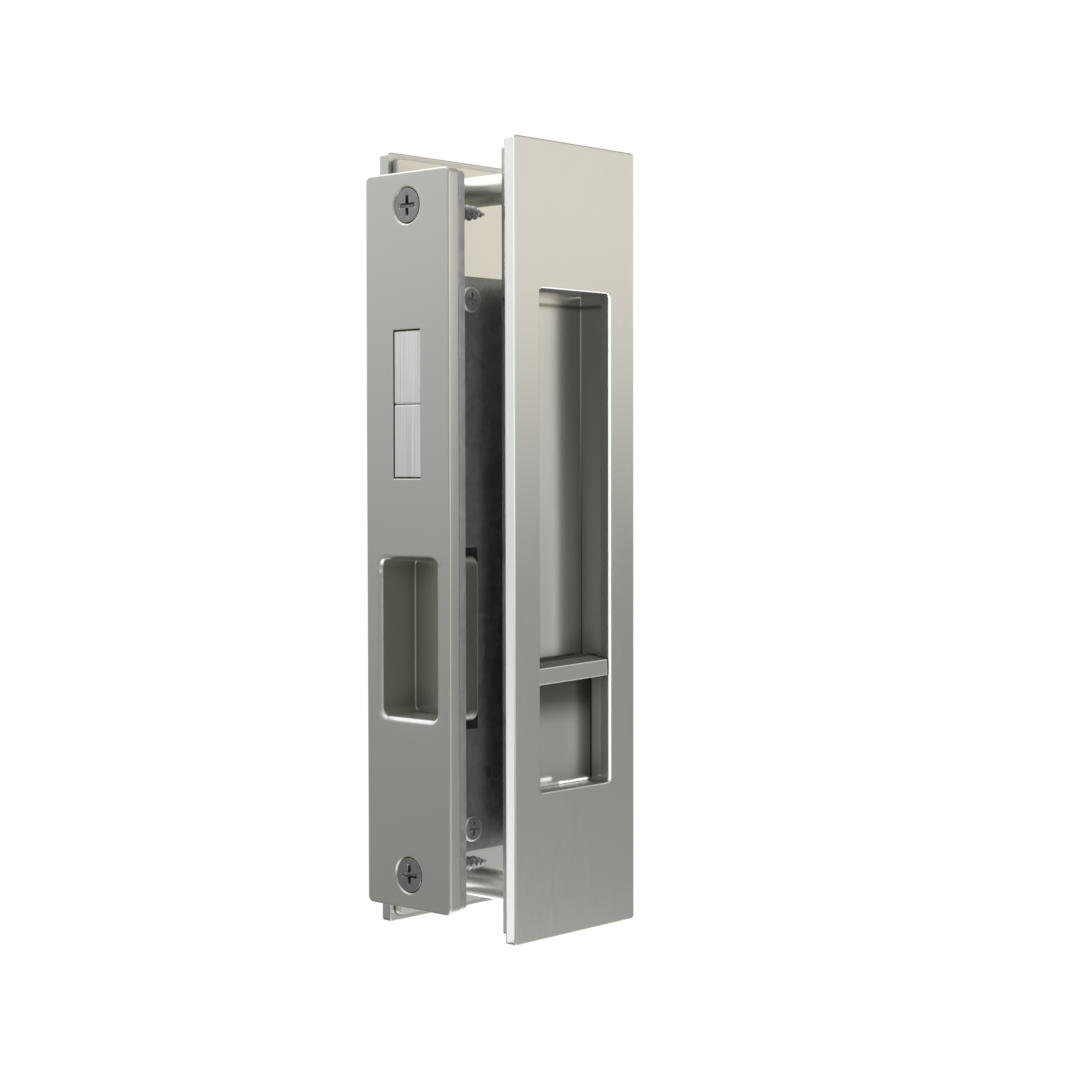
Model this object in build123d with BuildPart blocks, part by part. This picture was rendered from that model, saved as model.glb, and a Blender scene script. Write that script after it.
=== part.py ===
from build123d import *
from math import acos, atan2, cos, degrees, pi, radians, sin, tan
import os

# Pocket door privacy lock, in millimetres. X goes from the door's edge into the door, Y from the
# inside face to the outside face, Z is up. X = 0 is the back of the case forend, where the lock
# seats on the wood, Y = 0 the middle of the edge plate and Z = 0 half the edge plate's height.

# Door that the set is made for
door_thick = 35.0
edge_shift = 0.75  # middle of the edge plate, from the door's middle to the outside face

# Edge plate and its finger cup
edge_w = 25.0
edge_h = 155.6
edge_t = 3.0
edge_corner = 1.3
edge_round = 0.4
cup_w = 16.5
cup_h = 33.2
cup_z = -20.6
cup_deep = 10.3
cup_wall = 1.2
cup_corner = 1.6
cup_rim_round = 1.25
cup_crease = 0.45

# Edge screws
screw_spacing = 141.4
screw_r = 1.75
screw_neck_r = 1.95  # plain neck inside the two plates
screw_head_r = 4.0
screw_long = 24.0
screw_point = 3.5
cross_long = 4.4
cross_wide = 1.0
cross_deep = 1.5

# Case
forend_w = 24.5
forend_h = 155.0
forend_t = 2.0
case_thick = 16.0
case_deep = 42.0
case_top = 56.0
case_bottom = -66.0
case_corner = 2.5
sheet = 1.2
notch_gap = 1.5  # from the finger cup's shell to the notch in the case
pillar_r = 3.0
pillar_rivet_r = 1.75
pillar_in = 5.0
case_screw_r = 1.2
case_screw_head_r = 2.75
case_screw_head_h = 1.6
case_screw_long = 8.0
case_cross_long = 3.0
case_cross_wide = 0.8

# Bolts and their carriage
bolt_z = 29.0
slot_w = 8.2
slot_h = 31.4
bolt_side_gap = 0.1
bolt_part_gap = 0.12  # between the two bolts
bolt_bevel = 0.35
splay = 10.0  # degrees, each bolt's way out from the level
carriage_front = 16.2
carriage_deep = 21.8
carriage_h = 26.0
carriage_t = 7.8
neck_w = 4.0
neck_deep = 2.0
groove_w = 6.0
groove_deep = 2.1
tail_h = 8.5
bolt_pin_r = 1.5
bolt_pin_x = 2.8
bolt_pin_rise = 9.5
carriage_guide_r = 1.5
carriage_guide_x = 23.0
carriage_guide_rise = 9.0
cam_pin_r = 2.0
cam_x = 27.0

# Drive bar, rack and release pinion
bar_t = 2.4
bar_left = 10.3
bar_cap_right = 31.5
bar_cap_edge = 4.5
bar_foot_right = 29.5
bar_foot_rise = 4.4
bar_foot_drop = 10.0
bar_guide_r = 1.5
bar_guide_shoulder_r = 2.75
bar_guide_top = 6.0
bar_guide_bottom = -50.0
gear_module = 1.0
gear_teeth = 14
gear_addendum = 0.8
gear_dedendum = 1.1
gear_backlash = 0.1
pressure_angle = 20.0
release_z = -28.0
hub_r = 4.5
spindle_side = 5.0

# Friction block
block_front = 1.4
block_back = 8.5
block_h = 9.0
plunger_r = 1.5
plunger_y = -4.9
plunger_long = 4.6
bore_end = 2.3
spring_wire = 0.4
spring_turns = 4.5
spring_mean_r = 1.2

# Face plates and trays
plate_w = 38.6
plate_h = 169.2
plate_t = 2.7
plate_corner = 0.8
plate_round = 0.3
backset = 30.0
recess_w = 22.7
recess_h = 106.6
recess_z = 0.1
recess_deep = 8.5
recess_corner = 1.0
recess_round = 0.4
tray_wall = 1.2
flange_w = 36.0
flange_h = 166.0
flange_t = 2.0
stud_r = 1.5
stud_x = 15.2
stud_z = 38.0
clamp_in = 6.0  # from the flange's end to the through bolt
clamp_r = 2.0
clamp_head_r = 3.6
clamp_long = 24.0
post_r = 3.5
post_long = 24.7

# Snib: thumb bar on a slide plate
slide_t = 2.5
slide_deep = 5.7
slide_corner = 1.0
slide_tail = 26.1
snib_long = 22.1
snib_h = 3.55
snib_z = -28.4
snib_tilt = 1.8  # degrees, rising away from the door's edge
snib_flush = 0.65
snib_back_rise = 0.9
snib_edge = 0.25
slide_top = 2.3
drive_pin_r = 2.0
drive_pin_z = -43.0
washer_r = 4.5
washer_t = 0.8

# Release turn on the outside
turn_r = 7.0
turn_t = 2.0
boss_r = 5.0
coin_long = 11.0
coin_wide = 1.6
coin_deep = 1.2
clip_r = 6.6
clip_t = 0.6
clip_groove = 0.75
clip_mouth = 6.0

# Clearances
run_gap = 0.1
slide_gap = 0.3
slide_side_gap = 0.2
turn_gap = 0.05
stroke_spare = 0.15

# Sizes that follow from the others
inside_face = -door_thick / 2 - edge_shift
outside_face = door_thick / 2 - edge_shift
seat_x = 0.0
forend_front = seat_x - forend_t
edge_front = forend_front - edge_t
plate_x = edge_front + backset
pitch_r = gear_module * gear_teeth / 2
travel = pitch_r * pi / 2
pitch = gear_module * pi
case_back = case_thick / 2
cover_front = -case_thick / 2
cover_back = cover_front + sheet
wall_front = case_back - sheet
case_room = wall_front - cover_back
bar_front = cover_back + 2 * run_gap
bar_back = bar_front + bar_t
rack_x = plate_x - pitch_r
bar_right = rack_x - gear_dedendum
bolt_w = slot_w - 2 * run_gap
bolt_front = bolt_w / 2
bolt_half = slot_h / 2 - bolt_side_gap
splay_slope = tan(radians(splay))
cam_end_x = cam_x - travel
notch_deep = edge_front + cup_deep + cup_wall + notch_gap
notch_half = cup_h / 2 + cup_wall + notch_gap
screw_heights = (screw_spacing / 2, -screw_spacing / 2)
pillar_spots = [
    (pillar_in, case_top - pillar_in),
    (case_deep - pillar_in, case_top - pillar_in),
    (pillar_in, case_bottom + pillar_in),
    (case_deep - pillar_in, case_bottom + pillar_in),
]
bolt_pin_spots = [(bolt_pin_x, bolt_z + rise) for rise in (bolt_pin_rise, -bolt_pin_rise)]
carriage_guide_spots = [
    (carriage_guide_x, bolt_z + rise) for rise in (carriage_guide_rise, -carriage_guide_rise)
]
bar_guide_x = (bar_left + bar_right) / 2
bar_guide_spots = [(bar_guide_x, bar_guide_top), (bar_guide_x, bar_guide_bottom)]
tray_deep = recess_deep - plate_t
slide_front = inside_face - plate_t + slide_deep
slide_back = slide_front + slide_t
slide_w = recess_w - 2 * slide_side_gap
slide_top_z = snib_z + slide_top
slide_bottom_z = slide_top_z - slide_top - slide_tail
lip_t = slide_deep - plate_t - slide_gap
pocket_end = slide_bottom_z - travel - 2 * slide_gap
tray_floor = inside_face + tray_deep
tray_back = tray_floor + tray_wall
clamp_spots = [(plate_x, z) for z in (flange_h / 2 - clamp_in, clamp_in - flange_h / 2)]
stud_spots = [(plate_x + x, z) for x in (-stud_x, stud_x) for z in (-stud_z, stud_z)]
slot_half_w = drive_pin_r + slide_gap

os.makedirs("parts", exist_ok=True)


def layer(y):
    """Plane at depth y with X to the right, Z up and its normal towards the inside face."""
    return Plane.XZ.offset(-y)


def slot(start, end, width, mode=Mode.ADD):
    """Round-ended slot in the open sketch, its end arcs centred on two points."""
    run_x = end[0] - start[0]
    run_z = end[1] - start[1]
    middle = ((start[0] + end[0]) / 2, (start[1] + end[1]) / 2)
    length = (run_x**2 + run_z**2) ** 0.5
    with Locations(middle):
        SlotCenterToCenter(length, width, rotation=degrees(atan2(run_z, run_x)), mode=mode)


def cross(long, wide):
    """Cross recess of a screw head in the open sketch."""
    Rectangle(long, wide)
    Rectangle(wide, long)


def pins(spots, radius, y_front, y_back):
    """Plain round pins along Y, one at each spot."""
    with BuildPart() as group:
        with BuildSketch(layer(y_back)):
            with Locations(*spots):
                Circle(radius)
        extrude(amount=y_back - y_front)
    return group


# Edge plate, with the finger cup drawn from the same sheet
with BuildPart() as edge_plate:
    with BuildSketch(Plane.YZ.offset(edge_front)):
        RectangleRounded(edge_w, edge_h, edge_corner)
    extrude(amount=edge_t)
    with BuildSketch(Plane.YZ.offset(edge_front)):
        with Locations((0, cup_z)):
            RectangleRounded(
                cup_w + 2 * cup_wall, cup_h + 2 * cup_wall, cup_corner + cup_wall
            )
    extrude(amount=cup_deep + cup_wall)
    with BuildSketch(Plane.YZ.offset(edge_front)):
        with Locations((0, cup_z)):
            RectangleRounded(cup_w, cup_h, cup_corner)
    extrude(amount=cup_deep, mode=Mode.SUBTRACT)
    front_edges = edge_plate.edges().filter_by_position(Axis.X, edge_front, edge_front)
    mouth_edges = front_edges.filter_by(
        lambda e: abs(e.center().Y) < cup_w / 2 + 0.1 and abs(e.center().Z - cup_z) < cup_h / 2 + 0.1
    )
    rim_edges = front_edges.filter_by(lambda e: e not in mouth_edges)
    crease_x = edge_front + cup_deep
    crease_edges = edge_plate.edges().filter_by_position(Axis.X, crease_x, crease_x)
    fillet(mouth_edges, cup_rim_round)
    fillet(rim_edges, edge_round)
    fillet(crease_edges, cup_crease)
    with BuildSketch(Plane.YZ.offset(edge_front)):
        with Locations((0, bolt_z)):
            Rectangle(slot_w, slot_h)
    extrude(amount=edge_t, mode=Mode.SUBTRACT)
    with Locations(
        *[Plane((edge_front, 0, z), x_dir=(0, 1, 0), z_dir=(-1, 0, 0)) for z in screw_heights]
    ):
        CounterSinkHole(
            screw_neck_r + run_gap, screw_head_r + run_gap, depth=edge_t, counter_sink_angle=90
        )
edge_plate.part.label = "edge_plate"
export_step(edge_plate.part, "parts/edge_plate.step")

# Edge screws: countersunk wood screws with a cross recess
screw_neck_x = edge_front + screw_head_r - screw_neck_r
screw_tip_x = edge_front + screw_long
with BuildPart() as edge_screws:
    for z in screw_heights:
        with BuildSketch(Plane.XY.offset(z)):
            with BuildLine():
                Polyline(
                    (edge_front, 0),
                    (edge_front, screw_head_r),
                    (screw_neck_x, screw_neck_r),
                    (seat_x, screw_neck_r),
                    (seat_x, screw_r),
                    (screw_tip_x - screw_point, screw_r),
                    (screw_tip_x, 0),
                    close=True,
                )
            make_face()
        revolve(axis=Axis((0, 0, z), (1, 0, 0)))
    with BuildSketch(Plane.YZ.offset(edge_front)):
        with Locations(*[(0, z) for z in screw_heights]):
            cross(cross_long, cross_wide)
    extrude(amount=cross_deep, mode=Mode.SUBTRACT)
edge_screws.part.label = "edge_screws"
export_step(edge_screws.part, "parts/edge_screws.step")

# Case forend: the plate that seats on the wood behind the edge plate
with BuildPart() as case_forend:
    with BuildSketch(Plane.YZ.offset(forend_front)):
        RectangleRounded(forend_w, forend_h, edge_corner)
        with Locations((0, bolt_z)):
            Rectangle(slot_w, slot_h, mode=Mode.SUBTRACT)
        with Locations((0, cup_z)):
            RectangleRounded(
                cup_w + 2 * cup_wall + 2 * run_gap,
                cup_h + 2 * cup_wall + 2 * run_gap,
                cup_corner + cup_wall,
                mode=Mode.SUBTRACT,
            )
        with Locations(*[(0, z) for z in screw_heights]):
            Circle(screw_neck_r + run_gap, mode=Mode.SUBTRACT)
    extrude(amount=forend_t)
case_forend.part.label = "case_forend"
export_step(case_forend.part, "parts/case_forend.step")

# Outline of the case from the side, with the notch that clears the finger cup
with BuildSketch() as case_shape:
    with BuildLine():
        Polyline(
            (seat_x, case_bottom),
            (case_deep, case_bottom),
            (case_deep, case_top),
            (seat_x, case_top),
            (seat_x, cup_z + notch_half),
            (notch_deep, cup_z + notch_half),
            (notch_deep, cup_z - notch_half),
            (seat_x, cup_z - notch_half),
            close=True,
        )
    make_face()
    fillet(case_shape.vertices().group_by(Axis.X)[-1], case_corner)
with BuildSketch() as case_room_shape:
    add(case_shape.sketch)
    offset(amount=-sheet, kind=Kind.INTERSECTION)

# Case body: back wall and sides, folded from one sheet
with BuildPart() as case_body:
    with BuildSketch(layer(case_back)):
        add(case_shape.sketch)
    extrude(amount=case_back - cover_back)
    with BuildSketch(layer(wall_front)):
        add(case_room_shape.sketch)
    extrude(amount=case_room, mode=Mode.SUBTRACT)
    with BuildSketch(Plane.YZ.offset(seat_x)):
        with Locations((0, bolt_z)):
            Rectangle(slot_w, slot_h)
    extrude(amount=sheet, mode=Mode.SUBTRACT)
    with BuildSketch(layer(case_back)):
        with Locations(*pillar_spots):
            Circle(pillar_rivet_r)
        with Locations(*bolt_pin_spots):
            Circle(bolt_pin_r)
        with Locations(*carriage_guide_spots):
            Circle(carriage_guide_r)
        with Locations(*bar_guide_spots):
            Circle(bar_guide_r)
        with Locations((plate_x, release_z)):
            Circle(hub_r + turn_gap)
    extrude(amount=sheet, mode=Mode.SUBTRACT)
case_body.part.label = "case_body"
export_step(case_body.part, "parts/case_body.step")

# Case cover: flat sheet on the inside, slotted for the drive pin
pin_slot_top = (plate_x, drive_pin_z + stroke_spare)
pin_slot_bottom = (plate_x, drive_pin_z - travel - stroke_spare)
with BuildPart() as case_cover:
    with BuildSketch(layer(cover_back)):
        add(case_shape.sketch)
        with Locations(*pillar_spots):
            Circle(case_screw_r + run_gap, mode=Mode.SUBTRACT)
        with Locations(*bolt_pin_spots):
            Circle(bolt_pin_r, mode=Mode.SUBTRACT)
        with Locations(*bar_guide_spots):
            Circle(bar_guide_r, mode=Mode.SUBTRACT)
        with Locations((plate_x, release_z)):
            Circle(hub_r + turn_gap, mode=Mode.SUBTRACT)
        slot(pin_slot_top, pin_slot_bottom, 2 * slot_half_w, mode=Mode.SUBTRACT)
    extrude(amount=sheet)
case_cover.part.label = "case_cover"
export_step(case_cover.part, "parts/case_cover.step")

# Case pillars: riveted to the back wall, tapped for the cover screws
with BuildPart() as case_pillars:
    with BuildSketch(layer(wall_front)):
        with Locations(*pillar_spots):
            Circle(pillar_r)
    extrude(amount=case_room)
    with BuildSketch(layer(case_back)):
        with Locations(*pillar_spots):
            Circle(pillar_rivet_r)
    extrude(amount=sheet)
    with BuildSketch(layer(cover_back)):
        with Locations(*pillar_spots):
            Circle(case_screw_r + turn_gap)
    extrude(amount=-case_screw_long, mode=Mode.SUBTRACT)
case_pillars.part.label = "case_pillars"
export_step(case_pillars.part, "parts/case_pillars.step")

# Case screws: pan heads with a cross recess
with BuildPart() as case_screws:
    with BuildSketch(layer(cover_front)):
        with Locations(*pillar_spots):
            Circle(case_screw_head_r)
    extrude(amount=case_screw_head_h)
    fillet(case_screws.edges().group_by(Axis.Y)[0], case_screw_head_h / 3)
    with BuildSketch(layer(cover_front)):
        with Locations(*pillar_spots):
            Circle(case_screw_r)
    extrude(amount=-case_screw_long)
    with BuildSketch(layer(cover_front - case_screw_head_h)):
        with Locations(*pillar_spots):
            cross(case_cross_long, case_cross_wide)
    extrude(amount=-case_screw_head_h / 2, mode=Mode.SUBTRACT)
case_screws.part.label = "case_screws"
export_step(case_screws.part, "parts/case_screws.step")

# Guide pins of the bolts: through both case walls
bolt_guide_pins = pins(bolt_pin_spots, bolt_pin_r, cover_front, case_back)
bolt_guide_pins.part.label = "bolt_guide_pins"
export_step(bolt_guide_pins.part, "parts/bolt_guide_pins.step")

# Guide pins of the carriage: riveted to the back wall, ending short of the drive bar
carriage_guide_pins = pins(
    carriage_guide_spots, carriage_guide_r, bar_back + run_gap, case_back
)
carriage_guide_pins.part.label = "carriage_guide_pins"
export_step(carriage_guide_pins.part, "parts/carriage_guide_pins.step")

# Guide pins of the drive bar: their shoulders carry the bar's back
with BuildPart() as bar_guide_pins:
    with BuildSketch(layer(case_back)):
        with Locations(*bar_guide_spots):
            Circle(bar_guide_r)
    extrude(amount=case_thick)
    with BuildSketch(layer(wall_front)):
        with Locations(*bar_guide_spots):
            Circle(bar_guide_shoulder_r)
    extrude(amount=wall_front - bar_back - run_gap)
bar_guide_pins.part.label = "bar_guide_pins"
export_step(bar_guide_pins.part, "parts/bar_guide_pins.step")

# Friction block: moulded block between the case walls, bored for plunger and spring
block_z = bar_guide_top
block_x = (block_front + block_back) / 2
with BuildPart() as friction_block:
    with BuildSketch(layer(wall_front)):
        with Locations((block_x, block_z)):
            Rectangle(block_back - block_front, block_h)
    extrude(amount=case_room)
    with BuildSketch(Plane.YZ.offset(block_back)):
        with Locations((plunger_y, block_z)):
            Circle(plunger_r + turn_gap)
    extrude(amount=bore_end - block_back, mode=Mode.SUBTRACT)
friction_block.part.label = "friction_block"
export_step(friction_block.part, "parts/friction_block.step")

# Friction plunger: presses on the drive bar's edge
plunger_tip = bar_left - turn_gap
with BuildPart() as friction_plunger:
    with BuildSketch(Plane.YZ.offset(plunger_tip - plunger_long)):
        with Locations((plunger_y, block_z)):
            Circle(plunger_r)
    extrude(amount=plunger_long)
friction_plunger.part.label = "friction_plunger"
export_step(friction_plunger.part, "parts/friction_plunger.step")

# Friction spring: coil between the bore's end and the plunger
spring_start = bore_end + turn_gap + spring_wire / 2
spring_run = plunger_tip - plunger_long - turn_gap - spring_wire / 2 - spring_start
with BuildPart() as friction_spring:
    with BuildLine() as coil:
        Helix(
            spring_run / spring_turns,
            spring_run,
            spring_mean_r,
            center=(spring_start, plunger_y, block_z),
            direction=(1, 0, 0),
        )
    with BuildSketch(Plane(origin=coil.line @ 0, z_dir=coil.line % 0)):
        Circle(spring_wire / 2)
    sweep(is_frenet=True)
friction_spring.part.label = "friction_spring"
export_step(friction_spring.part, "parts/friction_spring.step")

# Drive bar: cam slot at the top, rack in the middle, pin hole in the foot
bar_top = bolt_z + travel + bar_cap_edge
bar_cap_bottom = bolt_z - bar_cap_edge
bar_bottom = drive_pin_z - bar_foot_drop
foot_top = drive_pin_z + bar_foot_rise
bar_w = bar_right - bar_left
tooth_slope = tan(radians(pressure_angle))
tooth_half = pitch / 4 - gear_backlash / 4
tooth_root_half = tooth_half + gear_dedendum * tooth_slope
tooth_tip_half = tooth_half - gear_addendum * tooth_slope
rack_teeth = int(travel / pitch) + 4
rack_spots = [(rack_x, release_z + pitch * n) for n in range(-1, rack_teeth - 1)]
with BuildPart() as drive_bar:
    with BuildSketch(layer(bar_back)):
        with Locations((bar_left, bar_bottom)):
            Rectangle(bar_w, bar_top - bar_bottom, align=Align.MIN)
        with BuildLine():
            Polyline(
                (bar_left, bar_cap_bottom),
                (bar_cap_right, bar_cap_bottom),
                (bar_cap_right, bolt_z + bar_cap_edge),
                (bar_cap_right - travel, bar_top),
                (bar_left, bar_top),
                close=True,
            )
        make_face()
        with Locations((bar_left, bar_bottom)):
            Rectangle(bar_foot_right - bar_left, foot_top - bar_bottom, align=Align.MIN)
        with Locations(*rack_spots):
            Polygon(
                (-gear_dedendum, -tooth_root_half),
                (gear_addendum, -tooth_tip_half),
                (gear_addendum, tooth_tip_half),
                (-gear_dedendum, tooth_root_half),
                align=None,
            )
        slot(
            (cam_x + stroke_spare, bolt_z - stroke_spare),
            (cam_end_x - stroke_spare, bolt_z + travel + stroke_spare),
            2 * cam_pin_r + 2 * turn_gap,
            mode=Mode.SUBTRACT,
        )
        for x, z in bar_guide_spots:
            slot(
                (x, z - stroke_spare),
                (x, z + travel + stroke_spare),
                2 * bar_guide_r + 2 * turn_gap,
                mode=Mode.SUBTRACT,
            )
        with Locations((plate_x, drive_pin_z)):
            Circle(drive_pin_r, mode=Mode.SUBTRACT)
    extrude(amount=bar_t)
drive_bar.part.label = "drive_bar"
export_step(drive_bar.part, "parts/drive_bar.step")

# Drive pin: from the snib's slide plate through tray and cover to the drive bar
drive_pin_front = slide_front + slide_t / 4
drive_pin = pins([(plate_x, drive_pin_z)], drive_pin_r, drive_pin_front, bar_back)
drive_pin.part.label = "drive_pin"
export_step(drive_pin.part, "parts/drive_pin.step")

# Drive washer: keeps the slide plate against the tray
washer_front = tray_back + 2 * run_gap
with BuildPart() as drive_washer:
    with BuildSketch(layer(washer_front + washer_t)):
        with Locations((plate_x, drive_pin_z)):
            Circle(washer_r)
            Circle(drive_pin_r, mode=Mode.SUBTRACT)
    extrude(amount=washer_t)
drive_washer.part.label = "drive_washer"
export_step(drive_washer.part, "parts/drive_washer.step")

# Snib: thumb bar across the recess, in one piece with its slide plate
tilt = radians(snib_tilt)
snib_front = inside_face - plate_t + snib_flush
with BuildPart() as snib:
    with BuildSketch(
        Plane((plate_x, 0, snib_z), x_dir=(0, 1, 0), z_dir=(cos(tilt), 0, sin(tilt)))
    ):
        with BuildLine():
            Polyline(
                (snib_front, -snib_h / 2),
                (snib_front, snib_h / 2),
                (slide_front + slide_t / 2, snib_h / 2 + snib_back_rise),
                (slide_front + slide_t / 2, -snib_h / 2),
                close=True,
            )
        make_face()
    extrude(amount=snib_long / 2, both=True)
    front_corners = snib.edges().filter_by_position(Axis.Y, snib_front, snib_front)
    fillet(front_corners.filter_by(lambda e: e.length > snib_long / 2), snib_edge)
    with BuildSketch(layer(slide_back)):
        with Locations((plate_x, (slide_top_z + slide_bottom_z) / 2)):
            RectangleRounded(slide_w, slide_top_z - slide_bottom_z, slide_corner)
    extrude(amount=slide_t)
    with BuildSketch(layer(slide_back)):
        with Locations((plate_x, drive_pin_z)):
            Circle(drive_pin_r)
    extrude(amount=slide_back - drive_pin_front, mode=Mode.SUBTRACT)
snib.part.label = "snib"
export_step(snib.part, "parts/snib.step")

# Bolt carriage: a block with a T groove in front and two guide slots
with BuildPart() as bolt_carriage:
    with BuildSketch(layer(carriage_t / 2)):
        with Locations((carriage_front + carriage_deep / 2, bolt_z)):
            Rectangle(carriage_deep, carriage_h)
        for x, z in carriage_guide_spots:
            slot(
                (x - stroke_spare, z),
                (x + travel + stroke_spare, z),
                2 * carriage_guide_r + 2 * turn_gap,
                mode=Mode.SUBTRACT,
            )
        with Locations((cam_x, bolt_z)):
            Circle(cam_pin_r, mode=Mode.SUBTRACT)
    extrude(amount=carriage_t)
    with BuildSketch(Plane.XY.offset(bolt_z - carriage_h / 2)):
        with Locations((carriage_front, 0)):
            Rectangle(neck_deep, neck_w, align=(Align.MIN, Align.CENTER))
        with Locations((carriage_front + neck_deep, 0)):
            Rectangle(groove_deep, groove_w, align=(Align.MIN, Align.CENTER))
    extrude(amount=carriage_h, mode=Mode.SUBTRACT)
bolt_carriage.part.label = "bolt_carriage"
export_step(bolt_carriage.part, "parts/bolt_carriage.step")

# Carriage pin: pressed in the carriage, rides in the drive bar's cam slot
carriage_pin = pins([(cam_x, bolt_z)], cam_pin_r, bar_front + turn_gap, carriage_t / 2)
carriage_pin.part.label = "carriage_pin"
export_step(carriage_pin.part, "parts/carriage_pin.step")


def bolt(side):
    """One bolt; side is 1 for the upper one and -1 for the lower one.

    The outer flank and the guide slot follow the bolt's splayed way out, and the T tail lets it
    rise in the carriage's groove as the carriage pushes it.
    """
    inner_z = bolt_z + side * bolt_part_gap / 2
    outer_z = bolt_z + side * bolt_half
    body_end = carriage_front - 2 * run_gap
    drop = side * splay_slope
    guide_z = bolt_z + side * bolt_pin_rise
    tail_start = inner_z + side * neck_w / 4
    with BuildPart() as piece:
        with BuildSketch(layer(bolt_front)):
            with BuildLine():
                Polyline(
                    (edge_front, inner_z),
                    (edge_front, outer_z),
                    (body_end, outer_z - drop * (body_end - edge_front)),
                    (body_end, inner_z),
                    close=True,
                )
            make_face()
            slot(
                (bolt_pin_x - stroke_spare, guide_z + drop * stroke_spare),
                (
                    bolt_pin_x + travel + stroke_spare,
                    guide_z - drop * (travel + stroke_spare),
                ),
                2 * bolt_pin_r + 2 * turn_gap,
                mode=Mode.SUBTRACT,
            )
        extrude(amount=bolt_w)
        chamfer(piece.faces().sort_by(Axis.X)[0].edges(), bolt_bevel)
        with BuildSketch(Plane.XY.offset(tail_start)):
            with Locations((body_end - run_gap, 0)):
                Rectangle(
                    neck_deep + 5 * run_gap,
                    neck_w - 2 * run_gap,
                    align=(Align.MIN, Align.CENTER),
                )
            with Locations((carriage_front + neck_deep + run_gap, 0)):
                Rectangle(
                    groove_deep - 2 * run_gap,
                    groove_w - 2 * run_gap,
                    align=(Align.MIN, Align.CENTER),
                )
        extrude(amount=side * tail_h)
    return piece


# Upper bolt
upper_bolt = bolt(1)
upper_bolt.part.label = "upper_bolt"
export_step(upper_bolt.part, "parts/upper_bolt.step")

# Lower bolt
lower_bolt = bolt(-1)
lower_bolt.part.label = "lower_bolt"
export_step(lower_bolt.part, "parts/lower_bolt.step")

# Pinion tooth: involute flanks between the base circle and the tip
base_r = pitch_r * cos(radians(pressure_angle))
root_r = pitch_r - gear_dedendum
tip_r = pitch_r + gear_addendum
pitch_involute = tan(radians(pressure_angle)) - radians(pressure_angle)


def flank_point(radius, side):
    """Point of the tooth's flank at a radius: half the pitch thickness, plus the involute of
    the pressure angle, less the involute of the angle whose cosine is base radius over radius."""
    angle = acos(base_r / radius)
    half = (pitch / 2 - gear_backlash / 2) / (2 * pitch_r) + pitch_involute - (tan(angle) - angle)
    return (radius * cos(half), side * radius * sin(half))


flank_radii = [base_r + (tip_r - base_r) * n / 4 for n in range(5)]
with BuildSketch() as pinion_tooth:
    with BuildLine():
        lower_flank = Spline(*[flank_point(r, -1) for r in flank_radii])
        upper_flank = Spline(*[flank_point(r, 1) for r in flank_radii])
        Line(lower_flank @ 1, upper_flank @ 1)
        inner_x = root_r - gear_dedendum / 4
        Polyline(
            lower_flank @ 0,
            (inner_x, (lower_flank @ 0).Y),
            (inner_x, (upper_flank @ 0).Y),
            upper_flank @ 0,
        )
    make_face()

# Release follower: pinion on the rack, with journals in both case walls and a square bore
tooth_turn = 180 + 180 / gear_teeth
with BuildPart() as release_follower:
    with BuildSketch(layer(bar_back)):
        with Locations((plate_x, release_z)):
            Circle(root_r)
            with PolarLocations(0, gear_teeth, start_angle=tooth_turn):
                add(pinion_tooth.sketch)
    extrude(amount=bar_t)
    with BuildSketch(layer(case_back)):
        with Locations((plate_x, release_z)):
            Circle(hub_r)
    extrude(amount=case_thick - run_gap)
    with BuildSketch(layer(case_back)):
        with Locations((plate_x, release_z)):
            Rectangle(spindle_side + 2 * turn_gap, spindle_side + 2 * turn_gap)
    extrude(amount=case_thick, mode=Mode.SUBTRACT)
release_follower.part.label = "release_follower"
export_step(release_follower.part, "parts/release_follower.step")

# Release turn: coin-slot disc on the outside, its boss running in the outer tray
outer_floor = outside_face - tray_deep
outer_back = outer_floor - tray_wall
turn_back = outer_floor + run_gap
turn_front = turn_back + turn_t
boss_end = outer_back - clip_t - 4 * run_gap
clip_back = outer_back - run_gap
socket_end = turn_front - coin_deep - 3 * run_gap
with BuildPart() as release_turn:
    with BuildSketch(layer(turn_front)):
        with Locations((plate_x, release_z)):
            Circle(turn_r)
    extrude(amount=turn_t)
    fillet(release_turn.edges().group_by(Axis.Y)[-1], turn_t / 4)
    with BuildSketch(layer(turn_back)):
        with Locations((plate_x, release_z)):
            Circle(boss_r)
    extrude(amount=turn_back - boss_end)
    with BuildSketch(layer(clip_back + turn_gap)):
        with Locations((plate_x, release_z)):
            Circle(boss_r)
            Circle(boss_r - clip_groove, mode=Mode.SUBTRACT)
    extrude(amount=clip_t + 2 * turn_gap, mode=Mode.SUBTRACT)
    with BuildSketch(layer(socket_end)):
        with Locations((plate_x, release_z)):
            Rectangle(spindle_side + 2 * turn_gap, spindle_side + 2 * turn_gap)
    extrude(amount=socket_end - boss_end, mode=Mode.SUBTRACT)
    with BuildSketch(layer(turn_front)):
        with Locations((plate_x, release_z)):
            SlotOverall(coin_long, coin_wide)
    extrude(amount=coin_deep, mode=Mode.SUBTRACT)
release_turn.part.label = "release_turn"
export_step(release_turn.part, "parts/release_turn.step")

# Release spindle: square bar from the follower to the turn
with BuildPart() as release_spindle:
    with BuildSketch(layer(socket_end - run_gap)):
        with Locations((plate_x, release_z)):
            Rectangle(spindle_side, spindle_side)
    extrude(amount=socket_end - run_gap - bar_front)
release_spindle.part.label = "release_spindle"
export_step(release_spindle.part, "parts/release_spindle.step")

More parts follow.
